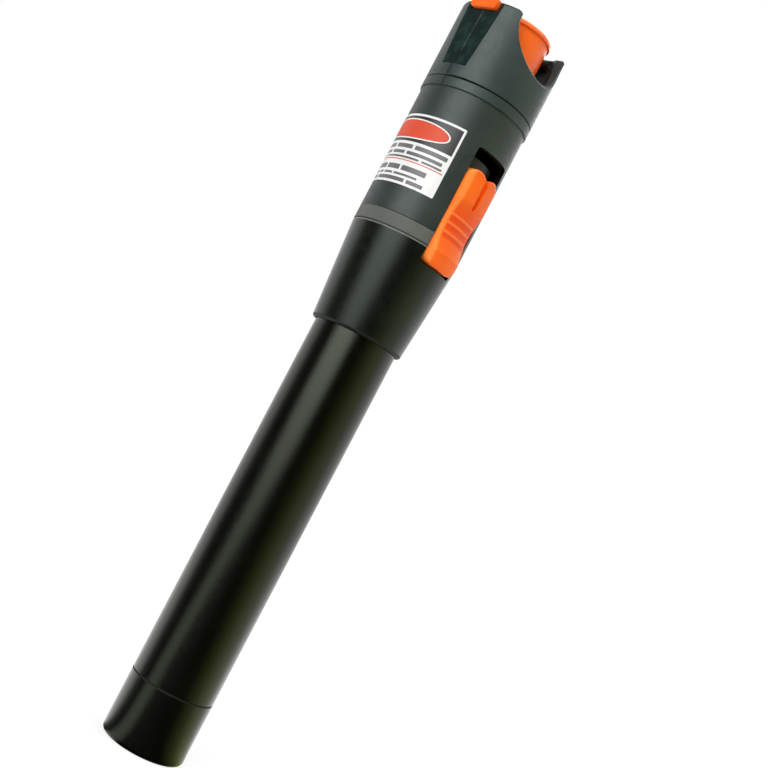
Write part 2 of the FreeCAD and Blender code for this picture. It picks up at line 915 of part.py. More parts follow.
def chassis():
    """Half-round tray behind the board, with a base disc, screw posts and the laser's clamp ring."""
    top_z = board_top_z
    tray = tube(chassis_r, chassis_r - chassis_wall, deck_z, top_z)
    tray = tray.common(box(-chassis_r, chassis_r, board_back_y, chassis_r, deck_z, top_z))
    base = tube(chassis_r, rivet_head_r + plate_clearance, deck_z, deck_z + chassis_floor)
    clamp_z = barrel_z + board_top_gap
    clamp_r = barrel_r + chassis_clamp_wall
    clamp = rod(clamp_r, clamp_z, clamp_z + chassis_clamp_height)
    web = box(-chassis_web / 2, chassis_web / 2, barrel_r, chassis_r - chassis_wall / 2,
              top_z - chassis_clamp_height, clamp_z + chassis_clamp_height)
    bore = rod(barrel_r + press, barrel_z - chassis_clamp_height, barrel_z + barrel_length)
    solid = tray.fuse([base, web, clamp])
    for x, z in screw_places():
        back_y = math.sqrt((chassis_r - chassis_wall / 2) ** 2 - x ** 2)
        solid = solid.fuse(rod_y(screw_post_r, x, z, board_back_y, back_y))
    solid = solid.common(rod(chassis_r, deck_z, clamp_z + chassis_clamp_height))
    for x, z in screw_places():
        solid = solid.cut(rod_y(screw_shank_r + slip, x, z, board_back_y - OVER,
                                board_front_y + screw_shank_length + slip))
    return solid.cut(bore).removeSplitter()


def laser_barrel():
    """Turned brass tube with an apertured end."""
    end_z = barrel_top_z - barrel_end_wall
    return turned([
        (diode_flange_r + slip, barrel_z, 0),
        (barrel_r - seam_chamfer, barrel_z, 0),
        (barrel_r, barrel_z + seam_chamfer, 0),
        (barrel_r, barrel_top_z - seam_chamfer, 0),
        (barrel_r - seam_chamfer, barrel_top_z, 0),
        (aperture_r, barrel_top_z, 0),
        (aperture_r, end_z, 0),
        (diode_flange_r + slip, end_z, 0),
    ])


def laser_diode():
    """Metal-can diode with three leads; one lies on the board."""
    flange_top = barrel_z + diode_flange_height
    solid = rod(diode_flange_r, barrel_z, flange_top)
    can = rod(diode_can_r, flange_top - SINK, flange_top + diode_can_height)
    leads = []
    for angle in (0, 180, 270):
        x = diode_lead_circle_r * math.cos(math.radians(angle))
        y = diode_lead_circle_r * math.sin(math.radians(angle))
        leads.append(rod(diode_lead_r, barrel_z - diode_lead_length, barrel_z + SINK, x, y))
    return solid.fuse([can] + leads).removeSplitter()


def focus_lens():
    """Plano-convex lens in the laser barrel."""
    z0 = barrel_z + diode_flange_height + diode_can_height + lens_above_diode
    lens_r = diode_flange_r
    ball_r = (lens_r ** 2 + lens_height ** 2) / (2 * lens_height)
    rim = lens_height / 2
    dome = Part.makeSphere(ball_r, vec(0, 0, z0 + rim + lens_height / 2 - ball_r))
    return rod(lens_r, z0, z0 + lens_height).common(dome)


def ferrule_adapter():
    """Port body: skirt over the laser barrel, clamped flange, nose with the ferrule's mouth."""
    skirt_r = barrel_r + slip + adapter_skirt_wall
    skirt_z = barrel_top_z - adapter_skirt_length
    mouth_r = ferrule_r + mouth_clearance
    return turned([
        (barrel_r + slip, skirt_z, 0),
        (skirt_r, skirt_z, 0),
        (skirt_r, head_nose_z, 0),
        (head_nose_r - mouth_clearance, head_nose_z, 0),
        (head_nose_r - mouth_clearance, cap_floor_z, 0),
        (nose_r, cap_floor_z, 0),
        (nose_r, port_z - nose_chamfer, 0),
        (nose_r - nose_chamfer, port_z, 0),
        (mouth_r + mouth_chamfer, port_z, 0),
        (mouth_r, port_z - mouth_chamfer, 0),
        (mouth_r, sleeve_z, 0),
        (sleeve_r + slip, sleeve_z, 0),
        (sleeve_r + slip, barrel_top_z, 0),
        (barrel_r + slip, barrel_top_z, 0),
    ])


def ceramic_sleeve():
    """Split sleeve that grips the ferrule."""
    sleeve = tube(sleeve_r, ferrule_r, barrel_top_z, sleeve_z)
    half = sleeve_split / 2
    return sleeve.cut(box(-half, half, 0, sleeve_r + OVER, barrel_top_z - OVER, sleeve_z + OVER))


PIECES = (
    tail_cap,
    tail_seal,
    tail_contact_plate,
    tail_spring,
    battery_tube,
    battery_rear,
    battery_front,
    front_contact,
    contact_insulator,
    neck_cone,
    band_ring,
    head_body,
    head_ring,
    head_cap,
    lid_hinge_pin,
    dust_lid,
    switch_button,
    switch_carrier,
    switch_lever,
    slide_switch_body,
    circuit_board,
    board_screws,
    chassis,
    laser_barrel,
    laser_diode,
    focus_lens,
    ferrule_adapter,
    ceramic_sleeve,
)

os.makedirs("parts", exist_ok=True)
for piece in PIECES:
    piece().exportStep("parts/" + piece.__name__ + ".step")
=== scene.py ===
import math

import bpy
from mathutils import Matrix, Vector


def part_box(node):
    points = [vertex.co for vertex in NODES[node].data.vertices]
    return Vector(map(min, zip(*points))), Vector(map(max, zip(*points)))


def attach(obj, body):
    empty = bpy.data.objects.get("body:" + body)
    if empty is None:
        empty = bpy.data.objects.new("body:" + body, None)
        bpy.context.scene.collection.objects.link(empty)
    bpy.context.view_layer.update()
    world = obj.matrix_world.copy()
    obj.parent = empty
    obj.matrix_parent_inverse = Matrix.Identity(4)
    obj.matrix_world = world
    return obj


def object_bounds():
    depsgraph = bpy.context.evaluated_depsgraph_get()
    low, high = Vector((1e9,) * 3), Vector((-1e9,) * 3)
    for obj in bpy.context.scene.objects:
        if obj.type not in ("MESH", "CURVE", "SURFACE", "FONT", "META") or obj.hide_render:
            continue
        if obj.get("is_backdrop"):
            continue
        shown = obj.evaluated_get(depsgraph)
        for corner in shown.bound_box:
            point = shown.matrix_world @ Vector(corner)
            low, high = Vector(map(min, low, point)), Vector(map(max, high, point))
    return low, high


# Looks for the visual fault locator. Metres, in the CAD frame: +Z along the pen, the switch faces -Y.

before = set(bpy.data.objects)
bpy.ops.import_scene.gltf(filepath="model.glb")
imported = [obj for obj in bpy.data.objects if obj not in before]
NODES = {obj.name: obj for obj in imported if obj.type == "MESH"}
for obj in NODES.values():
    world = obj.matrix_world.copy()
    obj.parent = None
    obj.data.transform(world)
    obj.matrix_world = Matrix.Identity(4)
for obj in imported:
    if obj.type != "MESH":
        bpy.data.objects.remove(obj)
cad_low, cad_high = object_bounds()

MM = 0.001

# ---------------------------------------------------------------- node trees


class Shading:
    """A node tree with short calls for the nodes in use; a value may be a socket or a constant."""

    def __init__(self, owner):
        owner.use_nodes = True
        self.nodes = owner.node_tree.nodes
        self.links = owner.node_tree.links

    def node(self, kind, operation=None):
        made = self.nodes.new("ShaderNode" + kind)
        if operation:
            made.operation = operation
        return made

    def feed(self, socket, value):
        """Links a socket to another one, or sets it to a constant."""
        if isinstance(value, bpy.types.NodeSocket):
            self.links.new(value, socket)
        else:
            socket.default_value = value

    def math(self, operation, first, second):
        node = self.node("Math", operation)
        self.feed(node.inputs[0], first)
        self.feed(node.inputs[1], second)
        return node.outputs[0]

    def along(self, vector, axis):
        """Part of a vector that points along axis."""
        node = self.node("VectorMath", "DOT_PRODUCT")
        self.feed(node.inputs[0], vector)
        self.feed(node.inputs[1], axis)
        return node.outputs["Value"]

    def length(self, vector):
        node = self.node("VectorMath", "LENGTH")
        self.feed(node.inputs[0], vector)
        return node.outputs["Value"]

    def scaled(self, colour, factor):
        node = self.node("VectorMath", "SCALE")
        self.feed(node.inputs[0], colour)
        self.feed(node.inputs["Scale"], factor)
        return node.outputs["Vector"]

    def added(self, first, second):
        node = self.node("VectorMath", "ADD")
        self.feed(node.inputs[0], first)
        self.feed(node.inputs[1], second)
        return node.outputs["Vector"]

    def map_range(self, value, low, high, at_low, at_high):
        """Goes from at_low to at_high as value goes from low to high."""
        node = self.node("MapRange")
        self.feed(node.inputs["Value"], value)
        self.feed(node.inputs["From Min"], low)
        self.feed(node.inputs["From Max"], high)
        self.feed(node.inputs["To Min"], at_low)
        self.feed(node.inputs["To Max"], at_high)
        return node.outputs["Result"]

    def ramp(self, value, stops):
        """Colour by a value; stops are (position, colour)."""
        node = self.node("ValToRGB")
        elements = node.color_ramp.elements
        while len(elements) < len(stops):
            elements.new(0.5)
        for element, (position, colour) in zip(elements, stops):
            element.position = position
            element.color = (*colour, 1)
        self.feed(node.inputs["Fac"], value)
        return node.outputs["Color"]

    def glow(self, colour, strength=1.0):
        node = self.node("Emission")
        self.feed(node.inputs["Color"], colour)
        self.feed(node.inputs["Strength"], strength)
        return node.outputs[0]

    def mixed_shader(self, share, first, second):
        node = self.node("MixShader")
        self.feed(node.inputs[0], share)
        self.feed(node.inputs[1], first)
        self.feed(node.inputs[2], second)
        return node.outputs[0]


def grey(level):
    return (level, level, level)


# ---------------------------------------------------------------- camera and light

CAMERA_AZIMUTH = math.radians(-46.5)  # round the pen, from -Y
CAMERA_HEIGHT = 73.2 * MM
CAMERA_DISTANCE = 266.6 * MM
CAMERA_PITCH = math.radians(1.41)
CAMERA_ROLL = math.radians(27.68)
CAMERA_LENS = 57.447
CAMERA_SENSOR = 36.0
CAMERA_SHIFT = (0.0922, 0.0447)
CAMERA_CLIP = (0.01, 20.0)

# Soft lamps aimed at the middle of the pen, LAMP_DISTANCE away from it: name, azimuth from the
# camera's and elevation in degrees, width, height, watts.
LAMP_DISTANCE = 0.60
LAMPS = [
    ("key_lamp", -38, 52, 0.40, 0.30, 0.3),
    ("fill_lamp", 52, 66, 0.60, 0.50, 2.2),
    ("back_lamp", 165, 35, 0.40, 0.30, 0.8),
]

# The studio round the pen, by direction in half turns from the camera's side, minus to the left:
# a dark room in front, a white backdrop behind, and one tall soft window to the left of the camera.
ROOM = [
    (-1.00, (1.00, 1.00, 1.00)),
    (-0.62, (1.00, 1.00, 1.00)),
    (-0.53, (0.16, 0.17, 0.17)),
    (-0.44, (0.01, 0.01, 0.01)),
    (-0.10, (0.01, 0.01, 0.01)),
    (0.14, (0.01, 0.01, 0.01)),
    (0.28, (0.26, 0.28, 0.10)),
    (0.40, (0.62, 0.64, 0.36)),
    (0.52, (0.72, 0.72, 0.62)),
    (0.62, (1.00, 1.00, 1.00)),
    (1.00, (1.00, 1.00, 1.00)),
]
WINDOW = [
    (-0.35, (0.0, 0.0, 0.0)),
    (-0.25, (1.0, 1.0, 1.0)),
    (-0.07, (1.0, 1.0, 1.0)),
    (0.03, (0.0, 0.0, 0.0)),
]
WINDOW_FOOT = [  # the window as gloss sees it in the floor, narrower
    (-0.28, (0.0, 0.0, 0.0)),
    (-0.20, (1.0, 1.0, 1.0)),
    (-0.13, (1.0, 1.0, 1.0)),
    (-0.05, (0.0, 0.0, 0.0)),
]

# How the studio changes: from, to, and the value at each of the two.
# By height, the sine of the elevation, in the world:
WORLD_WINDOW = (0.0, 0.25, 1.5, 4.8)
WORLD_DRIFT = (0.06, 0.30, 0.0, 0.022)
WORLD_STRENGTH = (0.40, 0.75, 1.0, 0.25)
# By distance from the pen's foot in metres, where gloss sees the studio in the floor:
FLOOR_WINDOW = (0.8, 4.0, 0.9, 1.5)
FLOOR_DRIFT = (0.0, 0.6, 0.06, 0.0)
FLOOR_ROOM = (0.10, 0.60, 1.5, 1.0)
FLOOR_STRETCH = (0.02, 0.50, 0.93, 1.0)
# By the same distance, how much even white the camera sees over the lit paper:
FLOOR_SHARE = (0.05, 0.45, 0.7, 1.0)

FLOOR_HALF = 4.0  # metres
FLOOR_PAPER = 0.92
FLOOR_WHITE = 1.1  # just over 1, so that it clips to plain white


def direction(azimuth, elevation):
    """Unit vector from the pen towards a place given by azimuth and elevation."""
    return Vector((
        math.sin(azimuth) * math.cos(elevation),
        -math.cos(azimuth) * math.cos(elevation),
        math.sin(elevation),
    ))


def add_object(name, data):
    added = bpy.data.objects.new(name, data)
    bpy.context.scene.collection.objects.link(added)
    return added


def make_camera():
    """Camera that looks at the pen from its side and a little upwards, rolled so that the pen leans."""
    data = bpy.data.cameras.new("camera")
    data.lens = CAMERA_LENS
    data.sensor_width = CAMERA_SENSOR
    data.shift_x, data.shift_y = CAMERA_SHIFT
    data.clip_start, data.clip_end = CAMERA_CLIP
    camera = add_object("camera", data)
    back = direction(CAMERA_AZIMUTH, 0)
    across = direction(CAMERA_AZIMUTH + math.pi / 2, 0)
    backwards = back * math.cos(CAMERA_PITCH) - Vector((0, 0, 1)) * math.sin(CAMERA_PITCH)
    upwards = backwards.cross(across)
    right = across * math.cos(CAMERA_ROLL) + upwards * math.sin(CAMERA_ROLL)
    up = upwards * math.cos(CAMERA_ROLL) - across * math.sin(CAMERA_ROLL)
    turn = Matrix((right, up, backwards)).transposed()
    stand = back * CAMERA_DISTANCE + Vector((0, 0, CAMERA_HEIGHT))
    camera.matrix_world = Matrix.Translation(stand) @ turn.to_4x4()
    bpy.context.scene.camera = camera


def make_lamp(name, azimuth, elevation, width, height, power):
    """Rectangular lamp of the list above."""
    data = bpy.data.lights.new(name, "AREA")
    data.shape = "RECTANGLE"
    data.size = width
    data.size_y = height
    data.energy = power
    lamp = add_object(name, data)
    away = direction(CAMERA_AZIMUTH + math.radians(azimuth), math.radians(elevation))
    lamp.location = away * LAMP_DISTANCE + Vector((0, 0, (cad_low.z + cad_high.z) / 2))
    lamp.rotation_mode = "QUATERNION"
    lamp.rotation_quaternion = away.to_track_quat("Z", "Y")


def by_turn(stops):
    """Stops whose positions go from half turns to the 0 to 1 of a colour ramp."""
    return [((half_turns + 1) / 2, colour) for half_turns, colour in stops]


def studio_light(shading, vector, window, window_strength, drift, room_strength=1.0, stretch=1.0):
    """Colour of the studio in the direction of a vector.

    A drift above 0 moves the window to the left; a stretch under 1 moves the room to the right.
    """
    front = shading.along(vector, direction(CAMERA_AZIMUTH, 0))
    side = shading.along(vector, direction(CAMERA_AZIMUTH + math.pi / 2, 0))
    angle = shading.math("ARCTAN2", side, front)
    turn = shading.math("ADD", shading.math("MULTIPLY", angle, 0.5 / math.pi), 0.5)
    room = shading.ramp(shading.math("MULTIPLY", turn, stretch), by_turn(ROOM))
    pane = shading.ramp(shading.math("ADD", turn, drift), by_turn(window))
    return shading.added(shading.scaled(room, room_strength), shading.scaled(pane, window_strength))


def shows_background(shading):
    """Socket that is 1 for rays that show the white background as such."""
    path = shading.node("LightPath")
    return shading.math("MAXIMUM", path.outputs["Is Camera Ray"], path.outputs["Is Transmission Ray"])


def make_world():
    """Studio for every ray but those that show the background, which is plain white."""
    world = bpy.data.worlds.new("studio")
    bpy.context.scene.world = world
    shading = Shading(world)
    shading.nodes.clear()
    place = shading.node("TexCoord").outputs["Generated"]
    height = shading.along(place, (0, 0, 1))
    window_strength = shading.map_range(height, *WORLD_WINDOW)
    drift = shading.map_range(height, *WORLD_DRIFT)
    lit = shading.node("Background")
    shading.feed(lit.inputs["Color"], studio_light(shading, place, WINDOW, window_strength, drift))
    shading.feed(lit.inputs["Strength"], shading.map_range(height, *WORLD_STRENGTH))
    seen = shading.node("Background")
    shading.feed(seen.inputs["Color"], (1, 1, 1, 1))
    surface = shading.mixed_shader(shows_background(shading), lit.outputs[0], seen.outputs[0])
    shading.feed(shading.node("OutputWorld").inputs["Surface"], surface)


def floor_finish():
    """White paper that keeps the pen's soft shadow; gloss sees the studio in it, as in a mirror."""
    material = bpy.data.materials.new("floor")
    material.cycles.emission_sampling = "NONE"
    shading = Shading(material)
    shading.nodes.clear()
    place = shading.node("TexCoord").outputs["Object"]
    distance = shading.length(place)
    paper = shading.node("BsdfDiffuse")
    shading.feed(paper.inputs["Color"], (*grey(FLOOR_PAPER), 1))
    share = shading.math("MULTIPLY", shows_background(shading), shading.map_range(distance, *FLOOR_SHARE))
    seen = shading.mixed_shader(share, paper.outputs[0], shading.glow((1, 1, 1, 1), FLOOR_WHITE))
    window_strength = shading.map_range(distance, *FLOOR_WINDOW)
    drift = shading.map_range(distance, *FLOOR_DRIFT)
    room_strength = shading.map_range(distance, *FLOOR_ROOM)
    stretch = shading.map_range(distance, *FLOOR_STRETCH)
    studio = studio_light(shading, place, WINDOW_FOOT, window_strength, drift, room_strength, stretch)
    by_gloss = shading.node("LightPath").outputs["Is Glossy Ray"]
    surface = shading.mixed_shader(by_gloss, seen, shading.glow(studio))
    shading.feed(shading.node("OutputMaterial").inputs["Surface"], surface)
    return material


def make_floor():
    """Flat square under the pen's foot, wide enough to have no edge in view."""
    mesh = bpy.data.meshes.new("floor")
    half = FLOOR_HALF
    corners = [(-half, -half, 0), (half, -half, 0), (half, half, 0), (-half, half, 0)]
    mesh.from_pydata(corners, [], [(0, 1, 2, 3)])
    mesh.materials.append(floor_finish())
    floor = add_object("floor", mesh)
    floor.location.z = cad_low.z
    floor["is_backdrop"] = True


# ---------------------------------------------------------------- materials

X_AXIS, Y_AXIS, Z_AXIS = (1, 0, 0), (0, 1, 0), (0, 0, 1)
NOISE_RANGE = (0.3, 0.7)  # most values of a noise lie between these
MATT = 0.65
# colour of the dark band beside the parting line
PARTING_DARK = (0.0015, 0.0030, 0.0028)
RELIEF_HEIGHT = 12.2 * MM  # of the cap's thumb reliefs, from their foot to the rim


class Finish(Shading):
    """A material that starts from a Principled shader and object coordinates."""

    def __init__(self, name, roughness, metallic=0.0, **sockets):
        self.material = bpy.data.materials.new(name)
        super().__init__(self.material)
        self.shader = self.nodes["Principled BSDF"]
        self.feed(self.shader.inputs["Roughness"], roughness)
        self.feed(self.shader.inputs["Metallic"], metallic)
        for socket, value in sockets.items():
            self.feed(self.shader.inputs[socket.replace("_", " ")], value)
        self.place = self.node("TexCoord").outputs["Object"]

    def stretched(self, scale):
        """Object coordinates scaled along each axis."""
        mapping = self.node("Mapping")
        self.feed(mapping.inputs["Scale"], scale)
        self.feed(mapping.inputs["Vector"], self.place)
        return mapping.outputs["Vector"]

    def noise(self, size, detail=4.0, place=None):
        """Noise whose features are about size metres across."""
        node = self.node("TexNoise")
        self.feed(node.inputs["Scale"], 1.0 / size)
        self.feed(node.inputs["Detail"], detail)
        self.feed(node.inputs["Vector"], place or self.place)
        return node.outputs["Fac"]

    def both(self, first, second):
        """1 where both masks are 1."""
        return self.math("MULTIPLY", first, second)

    def within(self, scale, low, high):
        """1 where object coordinates, scaled along each axis, are from low to high away from the origin."""
        distance = self.length(self.stretched(scale))
        above = self.math("GREATER_THAN", distance, low)
        below = self.math("LESS_THAN", distance, high)
        return self.both(above, below)

    def belt(self, axis, low, high, fade):
        """1 where the coordinate along axis is between low and high, fading to 0 on either side."""
        value = self.along(self.place, axis)
        rise = self.map_range(value, low - fade, low, 0.0, 1.0)
        fall = self.map_range(value, high, high + fade, 1.0, 0.0)
        return self.both(rise, fall)

    def colour(self, value):
        self.feed(self.shader.inputs["Base Color"], value)

    def rough(self, value, smoothest, roughest):
        """Roughness that follows a noise."""
        self.feed(self.shader.inputs["Roughness"], self.map_range(value, *NOISE_RANGE, smoothest, roughest))

    def overlay(self, socket, mask, colour):
        """Another colour where mask is 1, on an input that is linked already."""
        mix = self.node("MixRGB")
        self.feed(mix.inputs["Fac"], mask)
        self.feed(mix.inputs["Color1"], socket.links[0].from_socket)
        self.feed(mix.inputs["Color2"], (*colour, 1))
        self.feed(socket, mix.outputs["Color"])

    def recolour(self, mask, colour):
        self.overlay(self.shader.inputs["Base Color"], mask, colour)

    def reroughen(self, mask, roughness):
        self.overlay(self.shader.inputs["Roughness"], mask, grey(roughness))

    def bump(self, value, depth):
        """Relief of depth metres."""
        node = self.node("Bump")
        self.feed(node.inputs["Distance"], depth)
        self.feed(node.inputs["Height"], value)
        self.feed(self.shader.inputs["Normal"], node.outputs["Normal"])


def painted_barrel():
    """Satin black coat with fine flecks, matt in the seam of the tail cap."""
    finish = Finish("barrel_black", 0.25, Specular_Tint=(0.93, 1.0, 0.82, 1.0))
    cloud = finish.noise(9 * MM, 3.0)
    finish.colour(finish.ramp(cloud, [(0.35, (0.0012, 0.0013, 0.0006)), (0.7, (0.0026, 0.0028, 0.0014))]))
    finish.rough(finish.noise(0.5 * MM, 5.0), 0.18, 0.26)
    finish.bump(finish.noise(0.45 * MM, 3.0), 0.010 * MM)
    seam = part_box("battery_tube")[0].z
    seam_half = 0.20 * MM
    finish.reroughen(finish.belt(Z_AXIS, seam - seam_half, seam + seam_half, 0.03 * MM), MATT)
    return finish.material


def glossy_neck():
    """Smoother black coat of the cone, with a painted highlight along its sharp top edge, and matt on the lip
    of its foot.
    """
    finish = Finish("neck_black", 0.24, Specular_Tint=(0.88, 1.0, 0.90, 1.0))
    cloud = finish.noise(7 * MM, 3.0)
    finish.colour(finish.ramp(cloud, [(0.35, (0.0035, 0.0050, 0.0036)), (0.7, (0.0062, 0.0082, 0.0060))]))
    finish.rough(finish.noise(1.5 * MM, 4.0), 0.22, 0.28)
    finish.bump(finish.noise(0.6 * MM, 3.0), 0.009 * MM)
    low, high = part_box("neck_cone")
    highlight_height = 0.34 * MM
    lip_height = 0.50 * MM
    # painted highlight: a pale band along the cone's sharp top edge
    finish.recolour(finish.belt(Z_AXIS, high.z - highlight_height, high.z, 0.04 * MM), (0.17, 0.18, 0.16))
    finish.reroughen(finish.belt(Z_AXIS, low.z, low.z + lip_height, 0.10 * MM), MATT)
    return finish.material


def moulding(name, dark, light, smoothest, roughest, grain=0.28 * MM, depth=0.012 * MM, **sockets):
    """Moulded plastic with a fine spark-eroded grain and slow changes of tone."""
    finish = Finish(name, (smoothest + roughest) / 2, **sockets)
    finish.colour(finish.ramp(finish.noise(6 * MM, 4.0), [(0.3, dark), (0.72, light)]))
    finish.rough(finish.noise(1.2 * MM, 5.0), smoothest, roughest)
    finish.bump(finish.noise(grain, 4.0), depth)
    return finish


def moulded(*looks, **sockets):
    """Material of a moulding that is the same all over."""
    return moulding(*looks, **sockets).material


def matte_band():
    """Mid-grey band, dark along its foot where it meets the cone."""
    finish = moulding("band_grey", (0.082, 0.086, 0.076), (0.102, 0.107, 0.095), 0.55, 0.68)
    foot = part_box("band_ring")[0].z
    foot_height = 0.22 * MM
    finish.recolour(finish.belt(Z_AXIS, foot, foot + foot_height, 0.05 * MM), (0.012, 0.013, 0.011))
    return finish.material


def head_plastic(name, paleness=1.0, tint=(1.0, 1.0, 1.0)):
    """Green-black plastic of the head; a paleness above 1 is lighter."""
    dark = tuple(level * paleness * part for level, part in zip((0.0060, 0.0085, 0.0075), tint))
    light = tuple(level * paleness * part for level, part in zip((0.0100, 0.0135, 0.0120), tint))
    return moulding(
        name, dark, light, 0.42, 0.50, Specular_Tint=(0.90, 1.0, 0.95, 1.0), Specular_IOR_Level=0.6,
    )


def barrel_plastic():
    """Head plastic, with painted shade inside the bore and on the slot's cut walls."""
    finish = head_plastic("head_black", 2.3)
    skin = 0.15 * MM
    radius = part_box("head_body")[1].x
    # painted shade: everything inside the outer skin is darker, where light does not reach
    finish.recolour(finish.within((1, 1, 0), 0.0, radius - skin), (0.003, 0.003, 0.003))
    return finish.material


def parting_dark_band(finish, foot, head):
    """Soft mask of the dark band beside the mould's parting line at -X, from foot to head."""
    half_width = 0.15 * MM
    near_side = finish.belt(X_AXIS, cad_low.x, 0.0, 0.1 * MM)
    middle = finish.belt(Y_AXIS, -half_width, half_width, 0.35 * MM)
    return finish.both(near_side, finish.both(middle, finish.belt(Z_AXIS, foot, head, 0.4 * MM)))


def ring_plastic():
    """Head plastic of the collar, darker beside the parting line."""
    finish = head_plastic("ring_black", 2.2, (1.10, 1.22, 1.30))
    low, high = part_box("head_ring")
    finish.recolour(parting_dark_band(finish, low.z, high.z), PARTING_DARK)
    return finish.material


def cap_plastic():
    """Head plastic with the two thumb reliefs polished and mottled, darker beside the parting line below
    them, brown inside.
    """
    finish = head_plastic("cap_black", 2.1, (1.10, 1.30, 1.42))
    low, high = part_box("head_cap")
    relief_depth = 1.5 * MM
    skin = 0.02 * MM
    wall = 1.7 * MM
    flat = finish.within((1, 0, 0), high.x - relief_depth, 1.0)
    relief = finish.both(flat, finish.within((1, 1, 0), 0.0, high.x - skin))
    finish.recolour(relief, (0.004, 0.013, 0.012))
    cloud = finish.map_range(finish.noise(2.6 * MM, 3.0), 0.47, 0.62, 0.0, 1.0)
    finish.recolour(finish.both(relief, cloud), (0.009, 0.026, 0.024))
    finish.reroughen(relief, 0.20)
    finish.recolour(parting_dark_band(finish, low.z, high.z - RELIEF_HEIGHT), PARTING_DARK)
    finish.recolour(finish.within((1, 1, 0), 0.0, high.x - wall), (0.010, 0.007, 0.006))
    return finish.material


SCOOP_SHADE = (8.0 * MM, 13.5 * MM)  # painted shade of the scoop, which faces away from the light: heights above the button's foot
RIDGE_CRESTS = (7.9 * MM, 9.9 * MM, 11.9 * MM)
RIDGE_MARGIN = 1.4 * MM  # from the button's sides to the ridges' ends
# painted shade in the groove under each crest, heights from the crest
GROOVE_SHADE_BELOW_CREST = (-1.15 * MM, -0.55 * MM)
# painted highlight on each crest, heights from the crest
CREST_HIGHLIGHT_SPAN = (-0.25 * MM, 0.10 * MM)
EDGE_HIGHLIGHT = (0.35 * MM, 0.85 * MM)  # painted highlight, a reflection on the rounded near edge: from the button's near side


def thumb_plastic():
    """Button's orange, with painted highlights on its near edge and the ridges' crests, and redder painted
    shade in the scoop and grooves.
    """
    finish = moulding(
        "button_orange", (0.91, 0.122, 0.006), (0.97, 0.150, 0.008), 0.40, 0.48,
        grain=0.35 * MM, depth=0.004 * MM, Specular_IOR_Level=0.3, Specular_Tint=(1.0, 0.85, 0.6, 1.0),
    )
    low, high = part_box("switch_button")

    def band(span, start, fade):
        return finish.belt(Z_AXIS, start + span[0], start + span[1], fade)

    # painted shade: the scoop redder and darker
    finish.recolour(band(SCOOP_SHADE, low.z, 2.0 * MM), (0.88, 0.094, 0.006))
    middle = finish.belt(X_AXIS, low.x + RIDGE_MARGIN, high.x - RIDGE_MARGIN, 0.5 * MM)
    for crest in RIDGE_CRESTS:
        # painted shade in the groove under each crest
        groove_shade = band(GROOVE_SHADE_BELOW_CREST, low.z + crest, 0.3 * MM)
        finish.recolour(finish.both(middle, groove_shade), (0.84, 0.068, 0.005))
        # painted highlight on each crest
        crest_highlight = band(CREST_HIGHLIGHT_SPAN, low.z + crest, 0.2 * MM)
        finish.recolour(finish.both(middle, crest_highlight), (1.0, 0.190, 0.035))
    # painted highlight: a reflection along the rounded near edge
    edge_highlight = finish.belt(X_AXIS, low.x + EDGE_HIGHLIGHT[0], low.x + EDGE_HIGHLIGHT[1], 0.7 * MM)
    finish.recolour(edge_highlight, (1.0, 0.260, 0.045))
    return finish.material


def turned_metal(name, dark, light, roughness):
    """Lathe-turned metal with fine rings round the pen's axis."""
    finish = Finish(name, roughness, metallic=1.0)
    rings = finish.noise(0.25 * MM, 2.0, finish.stretched((0.02, 0.02, 1.0)))
    finish.colour(finish.ramp(rings, [(0.3, dark), (0.7, light)]))
    finish.rough(rings, roughness * 0.8, roughness * 1.3)
    finish.bump(rings, 0.004 * MM)
    return finish.material


def cell_wrap():
    """Plain blue shrink sleeve of a cell under a clear coat."""
    finish = Finish("cell_wrap", 0.3, Coat_Weight=0.4, Coat_Roughness=0.1)
    finish.colour(finish.ramp(finish.noise(5 * MM), [(0.3, (0.03, 0.06, 0.16)), (0.7, (0.045, 0.085, 0.21))]))
    finish.bump(finish.noise(0.8 * MM), 0.01 * MM)
    return finish.material


def printed(name, colour, roughness=0.35):
    """Ink on a smooth foil label."""
    finish = Finish(name, roughness)
    shade = tuple(level * 0.94 for level in colour)
    finish.colour(finish.ramp(finish.noise(3 * MM), [(0.3, shade), (0.7, colour)]))
    finish.bump(finish.noise(0.4 * MM), 0.003 * MM)
    return finish.material


def bead_plastic():
    """Plastic of the parting line: pale in spots on the relief, darker below it."""
    finish = Finish("bead_black", 0.40)
    spots = finish.noise(0.8 * MM, 3.0)
    finish.colour(finish.ramp(spots, [(0.42, (0.014, 0.022, 0.021)), (0.56, (0.13, 0.17, 0.165))]))
    finish.bump(finish.noise(0.3 * MM), 0.004 * MM)
    relief_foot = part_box("head_cap")[1].z - RELIEF_HEIGHT
    finish.recolour(finish.belt(Z_AXIS, 0.0, relief_foot, 0.2 * MM), PARTING_DARK)
    return finish.material


def lens_glass():
    """Clear glass with a faint blue coating."""
    finish = Finish("lens_glass", 0.02, Transmission_Weight=1.0, IOR=1.52)
    finish.colour(finish.ramp(finish.noise(2 * MM), [(0.3, (0.90, 0.95, 1.0)), (0.7, (0.95, 0.98, 1.0))]))
    return finish.material


def dress(material, *names):
    """Gives CAD nodes their finish."""
    for name in names:
        NODES[name].data.materials.clear()
        NODES[name].data.materials.append(material)


